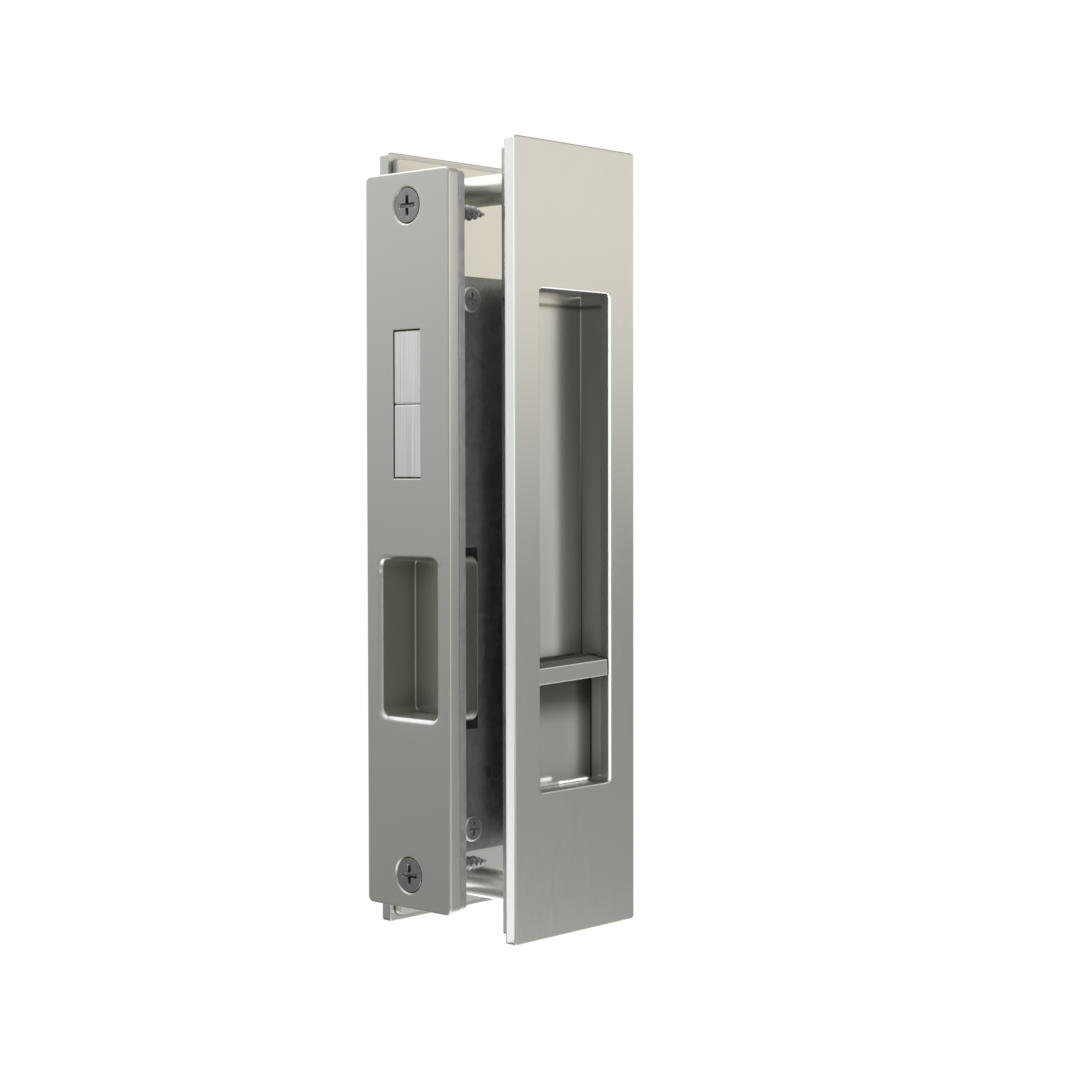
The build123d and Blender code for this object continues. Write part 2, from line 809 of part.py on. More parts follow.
# Release clip: open ring in the groove of the turn's boss
with BuildPart() as release_clip:
    with BuildSketch(layer(clip_back)):
        with Locations((plate_x, release_z)):
            Circle(clip_r)
            Circle(boss_r - clip_groove + turn_gap, mode=Mode.SUBTRACT)
            Rectangle(
                clip_mouth, 2 * clip_r, align=(Align.CENTER, Align.MAX), mode=Mode.SUBTRACT
            )
    extrude(amount=clip_t)
release_clip.part.label = "release_clip"
export_step(release_clip.part, "parts/release_clip.step")


def tray_shell(face, into):
    """Flange and recess cup of one side; face is the door's face, into is 1 along +Y."""
    with BuildPart() as shell:
        with BuildSketch(layer(face)):
            with Locations((plate_x, 0)):
                RectangleRounded(flange_w, flange_h, plate_corner)
        extrude(amount=-into * flange_t)
        with BuildSketch(layer(face)):
            with Locations((plate_x, recess_z)):
                RectangleRounded(
                    recess_w + 2 * tray_wall,
                    recess_h + 2 * tray_wall,
                    recess_corner + tray_wall,
                )
        extrude(amount=-into * (tray_deep + tray_wall))
        with BuildSketch(layer(face)):
            with Locations((plate_x, recess_z)):
                RectangleRounded(recess_w, recess_h, recess_corner)
        extrude(amount=-into * tray_deep, mode=Mode.SUBTRACT)
        with BuildSketch(layer(face)):
            with Locations(*stud_spots):
                Circle(stud_r)
        extrude(amount=-into * flange_t, mode=Mode.SUBTRACT)
    return shell


# Inside tray: with a pocket that the slide plate runs down into, and a slot for the drive pin
recess_bottom = recess_z - recess_h / 2
with BuildPart() as inside_tray:
    add(tray_shell(inside_face, 1).part)
    with BuildSketch(layer(inside_face + lip_t - flange_t)):
        with Locations((plate_x, recess_bottom)):
            Rectangle(
                recess_w + 2 * tray_wall,
                recess_bottom - pocket_end + tray_wall,
                align=(Align.CENTER, Align.MAX),
            )
    extrude(amount=-(tray_deep + tray_wall - lip_t + flange_t))
    with BuildSketch(layer(inside_face + lip_t)):
        with Locations((plate_x, recess_bottom + recess_corner)):
            Rectangle(
                recess_w,
                recess_bottom + recess_corner - pocket_end,
                align=(Align.CENTER, Align.MAX),
            )
    extrude(amount=-(tray_deep - lip_t), mode=Mode.SUBTRACT)
    with BuildSketch(layer(tray_floor)):
        slot(pin_slot_top, pin_slot_bottom, 2 * slot_half_w)
    extrude(amount=-tray_wall, mode=Mode.SUBTRACT)
    with Locations(
        *[Plane((x, inside_face, z), x_dir=(1, 0, 0), z_dir=(0, -1, 0)) for x, z in clamp_spots]
    ):
        CounterSinkHole(
            clamp_r + run_gap, clamp_head_r + run_gap, depth=flange_t, counter_sink_angle=90
        )
inside_tray.part.label = "inside_tray"
export_step(inside_tray.part, "parts/inside_tray.step")

# Outside tray: bored for the release turn, with threaded posts for the through bolts
with BuildPart() as outside_tray:
    add(tray_shell(outside_face, -1).part)
    with BuildSketch(layer(outer_floor)):
        with Locations((plate_x, release_z)):
            Circle(boss_r + turn_gap)
    extrude(amount=tray_wall, mode=Mode.SUBTRACT)
    with BuildSketch(layer(outside_face - flange_t)):
        with Locations(*clamp_spots):
            Circle(post_r)
    extrude(amount=post_long)
    with BuildSketch(layer(outside_face - flange_t)):
        with Locations(*clamp_spots):
            Circle(clamp_r + turn_gap)
    extrude(amount=post_long, mode=Mode.SUBTRACT)
outside_tray.part.label = "outside_tray"
export_step(outside_tray.part, "parts/outside_tray.step")


def face_plate(face, into):
    """Face plate of one side, pushed on over the tray's flange by four round studs."""
    front = face - into * plate_t
    with BuildPart() as plate:
        with BuildSketch(layer(face)):
            with Locations((plate_x, 0)):
                RectangleRounded(plate_w, plate_h, plate_corner)
            with Locations((plate_x, recess_z)):
                RectangleRounded(recess_w, recess_h, recess_corner, mode=Mode.SUBTRACT)
        extrude(amount=into * plate_t)
        front_edges = plate.edges().filter_by_position(Axis.Y, front, front)
        window_edges = front_edges.filter_by(
            lambda e: abs(e.center().X - plate_x) < recess_w / 2 + 0.1
            and abs(e.center().Z - recess_z) < recess_h / 2 + 0.1
        )
        outer_edges = front_edges.filter_by(lambda e: e not in window_edges)
        fillet(window_edges, recess_round)
        fillet(outer_edges, plate_round)
        with BuildSketch(layer(face)):
            with Locations(*stud_spots):
                Circle(stud_r)
        extrude(amount=-into * flange_t)
    return plate


# Inside face plate
inside_face_plate = face_plate(inside_face, 1)
inside_face_plate.part.label = "inside_face_plate"
export_step(inside_face_plate.part, "parts/inside_face_plate.step")

# Outside face plate
outside_face_plate = face_plate(outside_face, -1)
outside_face_plate.part.label = "outside_face_plate"
export_step(outside_face_plate.part, "parts/outside_face_plate.step")

# Through bolts: countersunk in the inside flange, screwed into the outer tray's posts
with BuildPart() as through_bolts:
    for x, z in clamp_spots:
        with BuildSketch(Plane.XY.offset(z)):
            with BuildLine():
                Polyline(
                    (x, inside_face),
                    (x + clamp_head_r, inside_face),
                    (x + clamp_r, inside_face + clamp_head_r - clamp_r),
                    (x + clamp_r, inside_face + clamp_long),
                    (x, inside_face + clamp_long),
                    close=True,
                )
            make_face()
        revolve(axis=Axis((x, 0, z), (0, 1, 0)))
    with BuildSketch(layer(inside_face)):
        with Locations(*clamp_spots):
            cross(case_cross_long, case_cross_wide)
    extrude(amount=-case_screw_head_h / 2, mode=Mode.SUBTRACT)
through_bolts.part.label = "through_bolts"
export_step(through_bolts.part, "parts/through_bolts.step")
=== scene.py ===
import math

import bmesh
import bpy
import numpy as np
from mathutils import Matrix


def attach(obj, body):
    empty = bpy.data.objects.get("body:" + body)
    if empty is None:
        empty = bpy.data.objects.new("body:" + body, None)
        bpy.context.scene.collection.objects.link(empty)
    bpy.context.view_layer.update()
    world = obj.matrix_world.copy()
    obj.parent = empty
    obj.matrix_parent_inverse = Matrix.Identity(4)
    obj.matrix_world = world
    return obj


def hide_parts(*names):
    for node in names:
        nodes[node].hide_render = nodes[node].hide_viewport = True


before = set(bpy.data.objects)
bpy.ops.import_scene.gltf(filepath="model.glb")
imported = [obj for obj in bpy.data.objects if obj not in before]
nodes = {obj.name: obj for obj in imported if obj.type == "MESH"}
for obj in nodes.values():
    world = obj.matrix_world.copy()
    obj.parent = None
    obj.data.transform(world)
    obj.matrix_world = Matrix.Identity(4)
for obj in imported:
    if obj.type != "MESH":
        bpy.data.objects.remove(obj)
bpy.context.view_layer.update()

# The camera. It stands to the front left of the lock, at about the height of the bolts, and sees the edge
# plate and the inside face plate at nearly the same slant.
camera = bpy.data.objects.new("camera", bpy.data.cameras.new("camera"))
bpy.context.scene.collection.objects.link(camera)
camera_down, camera_lean, camera_heading = 1.790, 0.101, -47.566  # degrees
camera.location = (-0.32683, -0.33217, 0.01478)
camera.rotation_euler = (
    math.radians(90 - camera_down),
    math.radians(camera_lean),
    math.radians(camera_heading),
)
camera.data.lens = 73.0
camera.data.sensor_width = 36.0
camera.data.clip_start = 0.01
bpy.context.scene.camera = camera
bpy.context.scene.view_settings.view_transform = "Standard"


# The edge plate. A zinc casting with a finger cup sunk in it, to pull by. It is linished lengthways, then
# nickel plated, and held by two screws.
def linear(colour):
    """An sRGB hex colour as linear red, green, blue and an alpha of one."""
    srgb = np.array([int(colour[i : i + 2], 16) for i in (0, 2, 4)]) / 255
    return (*np.where(srgb <= 0.04045, srgb / 12.92, ((srgb + 0.055) / 1.055) ** 2.4).tolist(), 1.0)


def add(tree, kind, inputs=None, **settings):
    """Adds one shader node with its settings. An input is a plain value, or the socket that feeds it. A
    Map Range takes its value at 0, goes from 1 to 2 there, and gives 3 to 4. A Mix of colours goes from the
    colour at 6 to that at 7 as its input 0 goes from 0 to 1, and gives its result at output 2."""
    made = tree.nodes.new("ShaderNode" + kind)
    for name, value in settings.items():
        setattr(made, name, value)
    for name, value in (inputs or {}).items():
        if isinstance(value, bpy.types.NodeSocket):
            tree.links.new(value, made.inputs[name])
        else:
            made.inputs[name].default_value = value
    return made


def new_material(name):
    """An empty material with nodes, and its Object coordinates."""
    material = bpy.data.materials.new(name)
    material.use_nodes = True
    tree = material.node_tree
    tree.nodes.clear()
    return material, tree, add(tree, "TexCoord").outputs["Object"]


def finish_metal(material, tree, colour, roughness, normal):
    """Joins colour, roughness and normal to a metal's shader and the shader to the output."""
    shader = add(
        tree,
        "BsdfPrincipled",
        {"Base Color": colour, "Roughness": roughness, "Normal": normal, "Metallic": 1.0},
    )
    add(tree, "OutputMaterial", {"Surface": shader.outputs[0]})


def worn_edges(tree, radius):
    """The normal of the surface with its edges rounded, and how far that turns from the surface's own
    normal: 0 on a flat and 1 on an edge."""
    rounded = add(tree, "Bevel", {"Radius": radius}, samples=shader_samples).outputs[0]
    own = add(tree, "NewGeometry").outputs["Normal"]
    along = add(tree, "VectorMath", {0: rounded, 1: own}, operation="DOT_PRODUCT").outputs["Value"]
    edge = add(tree, "MapRange", {0: along, 1: flat_along, 2: edge_along, 3: 0.0, 4: 1.0})
    return rounded, edge.outputs[0]


def nickel_plate(name, colours, grain_depth, smooth, rough, corner_shade, corner_reach, open_share):
    """Nickel over a zinc casting: a faint grain lengthways, slightly cloudy plating, and painted shade that
    darkens inside corners and creases. The roughness goes from smooth to rough with the grain. A spot takes
    all the painted corner shade where open_share[0] of the space within corner_reach is open, and none from
    open_share[1]."""
    material, tree, place = new_material(name)
    grain_place = add(
        tree, "Mapping", {"Vector": place, "Scale": (1 / grain_width, 1 / grain_width, 1 / grain_length)}
    )
    grain = add(tree, "TexNoise", {"Vector": grain_place.outputs[0], "Scale": 1.0, "Detail": 3.0})
    cloud = add(tree, "TexNoise", {"Vector": place, "Scale": 1 / cloud_size, "Detail": 2.0})
    tones = {0: cloud.outputs[0], 6: linear(colours[0]), 7: linear(colours[1])}
    colour = add(tree, "Mix", tones, data_type="RGBA").outputs[2]
    # Painted shade: the colour darkens in inside corners, the more they are closed in.
    corner = add(tree, "AmbientOcclusion", {"Distance": corner_reach}, samples=shader_samples)
    corner_unshaded = add(
        tree, "MapRange", {0: corner.outputs["AO"], 1: open_share[0], 2: open_share[1], 3: 0.0, 4: 1.0}
    )
    tones = {0: corner_unshaded.outputs[0], 6: linear(corner_shade), 7: colour}
    colour = add(tree, "Mix", tones, data_type="RGBA").outputs[2]
    # Painted shade: the colour darkens in narrow creases.
    crease = add(tree, "AmbientOcclusion", {"Distance": crease_reach}, samples=shader_samples)
    out_of_crease_shade = add(
        tree, "MapRange", {0: crease.outputs["AO"], 1: crease_open[0], 2: crease_open[1], 3: 0.0, 4: 1.0}
    )
    tones = {0: out_of_crease_shade.outputs[0], 6: linear(crease_shade_colour), 7: colour}
    colour = add(tree, "Mix", tones, data_type="RGBA").outputs[2]
    roughness = add(
        tree, "MapRange", {0: grain.outputs[0], 1: noise_low, 2: noise_high, 3: smooth, 4: rough}
    )
    relief = add(tree, "Bump", {"Height": grain.outputs[0], "Distance": grain_depth, "Strength": 0.5})
    return material, tree, place, colour, roughness.outputs[0], relief, out_of_crease_shade.outputs[0]


def wear(tree, colour, roughness, relief, out_of_crease_shade):
    """Rounds the edges, and makes them smoother, as handling leaves them, and paler, which is partly wear and
    partly a painted highlight; but not the creases.
    """
    rounded, edge = worn_edges(tree, edge_reach)
    edge = add(tree, "Math", {0: edge, 1: out_of_crease_shade}, operation="MULTIPLY").outputs[0]
    tree.links.new(rounded, relief.inputs["Normal"])
    roughness = add(tree, "Mix", {0: edge, 2: roughness, 3: handled_rough}).outputs[0]
    tones = {0: edge, 6: colour, 7: linear(worn_edge_and_highlight_colour)}
    return add(tree, "Mix", tones, data_type="RGBA").outputs[2], roughness


def coat(material, *names):
    """Gives the CAD nodes of these names one material."""
    for name in names:
        for slot in nodes[name].material_slots:
            slot.material = material


# Satin nickel: a bright nickel plate over fine lengthways linishing. The eye sees soft, long reflections,
# a faint grain, slightly cloudy plating, and edges that handling has polished, painted paler, which is
# partly wear and partly a painted highlight. Inside corners and creases get painted shade. A belt's marks
# are usually finer than 0.1 mm, too fine to show, so they are drawn 0.22 mm wide.
noise_low, noise_high = 0.3, 0.7  # most of a noise texture's values lie between these
shader_samples = 8
flat_along, edge_along = 0.995, 0.80  # cosines of how far the normal turns
grain_width, grain_length, cloud_size, edge_reach = 0.00022, 0.007, 0.030, 0.0004
# The crease colour is painted shade.
crease_reach, crease_open, crease_shade_colour = 0.0007, (0.50, 0.80), "55524a"
# The paler edge colour is partly wear and partly a painted highlight.
worn_edge_and_highlight_colour, handled_rough = "efece6", 0.22
# The grey after the plate's two tones is painted shade for inside corners.
satin_nickel, tree, _, colour, roughness, relief, out_of_crease_shade = nickel_plate(
    "satin_nickel_plate", ("cbccc6", "cfd0ca"), 0.000004, 0.30, 0.38, "8c8a82", 0.0075, (0.30, 0.80)
)
colour, roughness = wear(tree, colour, roughness, relief, out_of_crease_shade)
finish_metal(satin_nickel, tree, colour, roughness, relief.outputs[0])
coat(satin_nickel, "edge_plate")


# The edge screws. Two countersunk steel wood screws with a cross recess, turned, their threads rolled, and
# plated darker than the plate they hold. Their heads sit a little below its face.
def surface(name, points, material, closed=False):
    """A mesh through a grid of points, rows by columns by three. Closed joins its last column to its
    first."""
    rows, columns = points.shape[:2]
    index = np.arange(rows * columns).reshape(rows, columns)
    following = np.roll(index, -1, axis=1) if closed else index[:, 1:]
    here = index if closed else index[:, :-1]
    faces = np.stack([here[:-1], following[:-1], following[1:], here[1:]], axis=-1).reshape(-1, 4)
    mesh = bpy.data.meshes.new(name)
    mesh.from_pydata(points.reshape(-1, 3), [], faces)
    mesh.materials.append(material)
    mesh.polygons.foreach_set("use_smooth", np.ones(len(mesh.polygons), bool))
    made = bpy.data.objects.new(name, mesh)
    bpy.context.scene.collection.objects.link(made)
    return made


def join_poles(made):
    """Makes one point of those that lie on each other where a surface of turning meets its axis."""
    shape = bmesh.new()
    shape.from_mesh(made.data)
    bmesh.ops.remove_doubles(shape, verts=shape.verts, dist=1e-7)
    shape.to_mesh(made.data)
    shape.free()


def recess_depth(across, up):
    """Depth of the cross recess: two arms that are deepest in the middle and rise to their ends in a curve,
    with walls that lean in a little."""
    depth = 0 * across
    for along, aside in ((across, up), (up, across)):
        run = np.sqrt(np.clip(1 - (along / cross_reach) ** 2, 0, 1))
        wall = np.clip((cross_half - np.abs(aside)) / cross_lean, 0, 1)
        depth = np.maximum(depth, cross_deep * run * wall)
    return depth


def screw(name, centre_z):
    """One screw along X, a surface of turning. The head's face is sunk by the cross recess. Along the shank
    the radius rises and falls as a ridge that moves on by one pitch for each turn round."""
    turn = np.linspace(0, 2 * np.pi, round_steps, endpoint=False)[None, :]
    face_r = np.concatenate([[0.0], np.linspace(0.00012, cross_reach, 20), [0.0026, 0.0031, rim_r]])
    face_x = head_x + recess_depth(face_r[:, None] * np.cos(turn), face_r[:, None] * np.sin(turn))
    bend = np.linspace(0.2, np.pi / 2, 5)
    bend_r, bend_x = rim_r + rim_round * np.sin(bend), head_x + rim_round * (1 - np.cos(bend))
    shank_x = np.arange(0.0003, tip_x, thread_pitch / 14)
    taper = np.clip((tip_x - shank_x) / point_long, 0, 1)[:, None]
    phase = (shank_x[:, None] / thread_pitch - turn / (2 * np.pi)) % 1
    ridge = np.clip(1 - np.abs(phase - 0.5) / ridge_half, 0, 1) * np.clip(shank_x / run_in, 0, 1)[:, None]
    shank_r = (core_r + (thread_r - core_r) * ridge) * taper**0.8
    rings_r = [column[:, None] + 0 * turn for column in (face_r, bend_r, cone_r)]
    rings_x = [column[:, None] + 0 * turn for column in (bend_x, cone_x, shank_x)]
    radius = np.concatenate([*rings_r, shank_r, 0 * turn])
    place_x = np.concatenate([face_x, *rings_x, tip_x + 0 * turn])
    points = np.stack([place_x, radius * np.cos(turn), centre_z + radius * np.sin(turn)], axis=-1)
    made = surface(name, points, plated_screw, closed=True)
    join_poles(made)
    made.data.set_sharp_from_angle(angle=sharp_turn)
    return made


def fine_skin(name, grain_size, detail, colours, smooth, rough, depth, strength):
    """A material with a fine, even grain, in place of marks that are too fine to show. It moves the colour
    between the two, the roughness from smooth to rough, and the height by depth times strength."""
    material, tree, place = new_material(name)
    grain = add(tree, "TexNoise", {"Vector": place, "Scale": 1 / grain_size, "Detail": detail}).outputs[0]
    tones = {0: grain, 6: linear(colours[0]), 7: linear(colours[1])}
    colour = add(tree, "Mix", tones, data_type="RGBA").outputs[2]
    roughness = add(tree, "MapRange", {0: grain, 1: noise_low, 2: noise_high, 3: smooth, 4: rough})
    relief = add(tree, "Bump", {"Height": grain, "Distance": depth, "Strength": strength})
    return material, tree, colour, roughness.outputs[0], relief.outputs[0]


# Plated screw steel: dark and a little mottled, with paler edges. The grain is drawn 0.5 mm wide.
screw_edge_reach = 0.0002
plated_screw, tree, colour, roughness, relief = fine_skin(
    "nickel_plated_screw_steel", 0.0005, 3.0, ("909192", "9fa0a0"), 0.24, 0.34, 0.000006, 0.5
)
edge = worn_edges(tree, screw_edge_reach)[1]
tones = {0: edge, 6: colour, 7: linear("c8c8c6")}
colour = add(tree, "Mix", tones, data_type="RGBA").outputs[2]
finish_metal(plated_screw, tree, colour, roughness, relief)
cross_reach, cross_half, cross_lean, cross_deep = 0.0022, 0.00048, 0.00016, 0.0014
head_x, rim_r, rim_round = -0.00482, 0.00345, 0.0002
round_steps, sharp_turn = 96, math.radians(38)
neck_r, core_r, thread_r = 0.0019, 0.00122, 0.00175
cone_r = np.array([0.00355, 0.00305, 0.00245, 0.0020, neck_r, neck_r, neck_r, core_r])
cone_x = np.array([-0.0045, -0.0040, -0.0034, -0.00295, -0.0028, -0.0008, -0.00006, 0.0])
tip_x, point_long, thread_pitch, ridge_half, run_in = 0.019, 0.0045, 0.0017, 0.2, 0.003
for name, centre_z in (("upper_edge_screw", 0.0707), ("lower_edge_screw", -0.0707)):
    edge_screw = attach(screw(name, centre_z), "lock")
    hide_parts("edge_screws")

# The bolts. Two stainless bars, one above the other, with their ends ground flat and flush with the edge
# plate. They splay apart as they come out. The drive pin, the carriage pin, and the spindle and clip of
# the release are of the same steel.

# Ground stainless steel: pale, with soft, broad reflections and upright streaks. The marks of grinding are
# usually finer than 0.1 mm, too fine to show, so they are drawn 0.3 mm wide.
brushed_stainless, tree, place = new_material("brushed_stainless_steel")
streak_width, streak_length = 0.0003, 0.030
streak_place = add(
    tree, "Mapping", {"Vector": place, "Scale": (1 / streak_width, 1 / streak_width, 1 / streak_length)}
)
streak = add(tree, "TexNoise", {"Vector": streak_place.outputs[0], "Scale": 1.0, "Detail": 4.0}).outputs[0]
streak_tone = add(tree, "MapRange", {0: streak, 1: noise_low, 2: noise_high, 3: 0.0, 4: 1.0}).outputs[0]
streak_rough = add(tree, "MapRange", {0: streak, 1: noise_low, 2: noise_high, 3: 0.34, 4: 0.48}).outputs[0]
streak_relief = add(tree, "Bump", {"Height": streak, "Distance": 0.00001, "Strength": 0.6}).outputs[0]
tones = {0: streak_tone, 6: linear("e2e2e1"), 7: linear("fafaf9")}
streak_colour = add(tree, "Mix", tones, data_type="RGBA").outputs[2]
finish_metal(brushed_stainless, tree, streak_colour, streak_rough, streak_relief)
coat(
    brushed_stainless,
    "upper_bolt",
    "lower_bolt",
    "drive_pin",
    "carriage_pin",
    "release_clip",
    "release_spindle",
)

# The lock case, its forend and most of the steel in it. Pressed sheet steel, and turned pins, screws and
# through bolts, zinc plated after they are made. The cover is screwed to four pillars.

# Zinc plated steel: a cool grey, mottled pale and dark, with faint rolling marks and paler edges. The
# rolling marks are too fine to show, so they are drawn 0.3 mm wide.
zinc_steel, tree, place = new_material("zinc_plated_steel")
mottle_size, rolling_width, rolling_length, sheet_edge_reach = 0.0016, 0.0003, 0.012, 0.0005
mottle = add(tree, "TexVoronoi", {"Vector": place, "Scale": 1 / mottle_size})
mottle_tone = add(tree, "SeparateColor", {0: mottle.outputs["Color"]})
rolling_place = add(
    tree,
    "Mapping",
    {"Vector": place, "Scale": (1 / rolling_width, 1 / rolling_width, 1 / rolling_length)},
)
rolling = add(tree, "TexNoise", {"Vector": rolling_place.outputs[0], "Scale": 1.0, "Detail": 3.0})
edge = worn_edges(tree, sheet_edge_reach)[1]
tones = {0: mottle_tone.outputs[0], 6: linear("b4b7b9"), 7: linear("c3c5c4")}
zinc_colour = add(tree, "Mix", tones, data_type="RGBA").outputs[2]
tones = {0: edge, 6: zinc_colour, 7: linear("d8d9d8")}
zinc_colour = add(tree, "Mix", tones, data_type="RGBA").outputs[2]
zinc_rough = add(tree, "MapRange", {0: mottle_tone.outputs[1], 1: 0.0, 2: 1.0, 3: 0.36, 4: 0.46})
zinc_relief = add(tree, "Bump", {"Height": rolling.outputs[0], "Distance": 0.000008, "Strength": 0.5})
finish_metal(zinc_steel, tree, zinc_colour, zinc_rough.outputs[0], zinc_relief.outputs[0])
coat(
    zinc_steel,
    "case_forend",
    "case_body",
    "case_cover",
    "case_pillars",
    "case_screws",
    "bolt_guide_pins",
    "carriage_guide_pins",
    "bar_guide_pins",
    "drive_bar",
    "drive_washer",
    "through_bolts",
)

# The bolt carriage and the release follower. Zinc castings that slide and turn inside the case, left as
# they come from the die: dull and grey, with a fine cloudy skin.
cast_zinc, tree, colour, roughness, relief = fine_skin(
    "die_cast_zinc", 0.0009, 4.0, ("9ea1a2", "b5b6b4"), 0.45, 0.6, 0.00003, 0.5
)
finish_metal(cast_zinc, tree, colour, roughness, relief)
coat(cast_zinc, "bolt_carriage", "release_follower")

# The friction block. It holds the thumb bar at either end of its travel: an acetal block, a brass
# plunger and a spring that presses it on the drive bar.

# Natural acetal, moulded: milky white and slightly waxy, with soft, dim reflections. The grain is drawn
# 0.6 mm wide.
acetal, tree, colour, roughness, relief = fine_skin(
    "natural_acetal", 0.0006, 3.0, ("e6e3da", "efece4"), 0.38, 0.5, 0.00001, 0.4
)
acetal_shader = add(
    tree,
    "BsdfPrincipled",
    {
        "Base Color": colour,
        "Roughness": roughness,
        "Normal": relief,
        "IOR": 1.48,
        "Subsurface Weight": 0.1,
        "Subsurface Scale": 0.002,
    },
)
add(tree, "OutputMaterial", {"Surface": acetal_shader.outputs[0]})
coat(acetal, "friction_block")

# Turned brass: warm yellow and bright. The grain is drawn 0.3 mm wide.
brass, tree, colour, roughness, relief = fine_skin(
    "turned_brass", 0.0003, 3.0, ("c9a860", "dbbd76"), 0.25, 0.35, 0.000005, 0.5
)
finish_metal(brass, tree, colour, roughness, relief)
coat(brass, "friction_plunger")

# Drawn spring steel: dark grey and fairly bright. The grain is drawn 0.2 mm wide.
spring_steel, tree, colour, roughness, relief = fine_skin(
    "drawn_spring_steel", 0.0002, 3.0, ("8d8f91", "a9abab"), 0.3, 0.42, 0.000004, 0.4
)
finish_metal(spring_steel, tree, colour, roughness, relief)
coat(spring_steel, "friction_spring")

# The recessed trays. Zinc castings, barrel polished before they are plated, because no belt gets into them.
# The face plates push on to studs on their flanges, and the through bolts draw the two trays together.

# Barrel polished nickel: smoother than the plates, with no grain. Light and shade are painted on it: it is
# brighter low down and darker higher up, and close under the top of the recess it has a painted shadow band
# with a painted light band above it. Its inside corners get painted shade.
barrel_polished, tree, place, colour, roughness, relief, _ = nickel_plate(
    "barrel_polished_nickel_plate",
    ("f2f3ed", "f6f6f0"),
    0.0000001,
    0.25,
    0.26,
    # painted shade in inside corners
    "9c9a92",
    0.0075,
    (0.30, 0.75),
)
# Painted light and shade by height: each tone is a shade or a light band.
tray_painted_light_and_shade = (  # the heights between which each tone comes in, going up
    (-0.010, 0.045, "cccdc7"),
    (0.0493, 0.0506, "b8b7af"),
    (0.0501, 0.0507, "8a8981"),
    (0.0508, 0.0515, "cfcec6"),
)
height = add(tree, "SeparateXYZ", {0: place}).outputs["Z"]
for start, end, tone in tray_painted_light_and_shade:
    step = add(
        tree, "MapRange", {0: height, 1: start, 2: end, 3: 0.0, 4: 1.0}, interpolation_type="SMOOTHSTEP"
    )
    tones = {0: step.outputs[0], 6: colour, 7: linear(tone)}
    colour = add(tree, "Mix", tones, data_type="RGBA").outputs[2]
finish_metal(barrel_polished, tree, colour, roughness, relief.outputs[0])
coat(barrel_polished, "inside_tray", "outside_tray")

# The face plates and the emergency turn. Zinc castings, linished and plated as the edge plate is. The
# plates cover the trays' flanges, and the turn has a slot for a coin.
coat(satin_nickel, "inside_face_plate", "outside_face_plate", "release_turn")

# The thumb bar and its slide plate. One zinc casting that runs up and down in the inside tray, linished
# before it is plated.

# Satin nickel again, a little finer. A shadow is painted on the slide plate under the bar, and a highlight
# is painted as a bright line across it at the foot of the tray.
thumb_nickel, tree, place, colour, roughness, relief, out_of_crease_shade = nickel_plate(
    "satin_nickel_plate_on_the_thumb_bar",
    ("d2d3cd", "d6d7d1"),
    0.000003,
    0.28,
    0.36,
    # painted shade in inside corners
    "8c8a82",
    0.0075,
    (0.30, 0.80),
)
# Painted shadow: the slide plate darkens under the thumb bar.
bar_shadow_low, bar_shadow_high, bar_shadow_share, bar_shadow_colour = -0.0410, -0.0335, 0.84, "4c463e"
slide_front, slide_back = -0.0162, -0.0156
axes = add(tree, "SeparateXYZ", {0: place})
bar_shadow_by_height = add(
    tree,
    "MapRange",
    {0: axes.outputs["Z"], 1: bar_shadow_low, 2: bar_shadow_high, 3: 0.0, 4: bar_shadow_share},
    interpolation_type="SMOOTHSTEP",
)
on_slide = add(tree, "MapRange", {0: axes.outputs["Y"], 1: slide_front, 2: slide_back, 3: 0.0, 4: 1.0})
in_bar_shadow = add(tree, "Math", {0: bar_shadow_by_height.outputs[0], 1: on_slide.outputs[0]}, operation="MULTIPLY")
tones = {0: in_bar_shadow.outputs[0], 6: colour, 7: linear(bar_shadow_colour)}
colour = add(tree, "Mix", tones, data_type="RGBA").outputs[2]
colour, roughness = wear(tree, colour, roughness, relief, out_of_crease_shade)
# Painted highlight: a near-white line along the foot of the recess, its width broken up by noise.
glint_z, glint_half, glint_break_size = -0.0529, 0.00035, 0.004
apart = add(tree, "Math", {0: axes.outputs["Z"], 1: glint_z}, operation="SUBTRACT").outputs[0]
apart = add(tree, "Math", {0: apart}, operation="ABSOLUTE").outputs[0]
glint_break = add(tree, "TexNoise", {"Vector": place, "Scale": 1 / glint_break_size, "Detail": 3.0}).outputs[0]
glint_reach = add(tree, "MapRange", {0: glint_break, 1: 0.35, 2: 0.7, 3: 0.5 * glint_half, 4: 2.2 * glint_half})
glint_share = add(tree, "Math", {0: apart, 1: glint_reach.outputs[0]}, operation="DIVIDE").outputs[0]
painted_glint = add(tree, "MapRange", {0: glint_share, 1: 0.6, 2: 1.1, 3: 1.0, 4: 0.0}).outputs[0]
tones = {0: painted_glint, 6: colour, 7: linear("fbf9f5")}
colour = add(tree, "Mix", tones, data_type="RGBA").outputs[2]
finish_metal(thumb_nickel, tree, colour, roughness, relief.outputs[0])
coat(thumb_nickel, "snib")


# The studio. A pale floor with the lock's soft shadow, white surroundings, one wide soft lamp overhead, and
# a cloth tent and some cards that only the metal sees, in its reflections.
def seen_directly(tree):
    """1 for the rays that show the background: the camera's own, those in gloss and those through glass."""
    rays = add(tree, "LightPath").outputs
    seen = rays["Is Camera Ray"]
    for kind in ("Is Glossy Ray", "Is Transmission Ray"):
        seen = add(tree, "Math", {0: seen, 1: rays[kind]}, operation="MAXIMUM").outputs[0]
    return seen


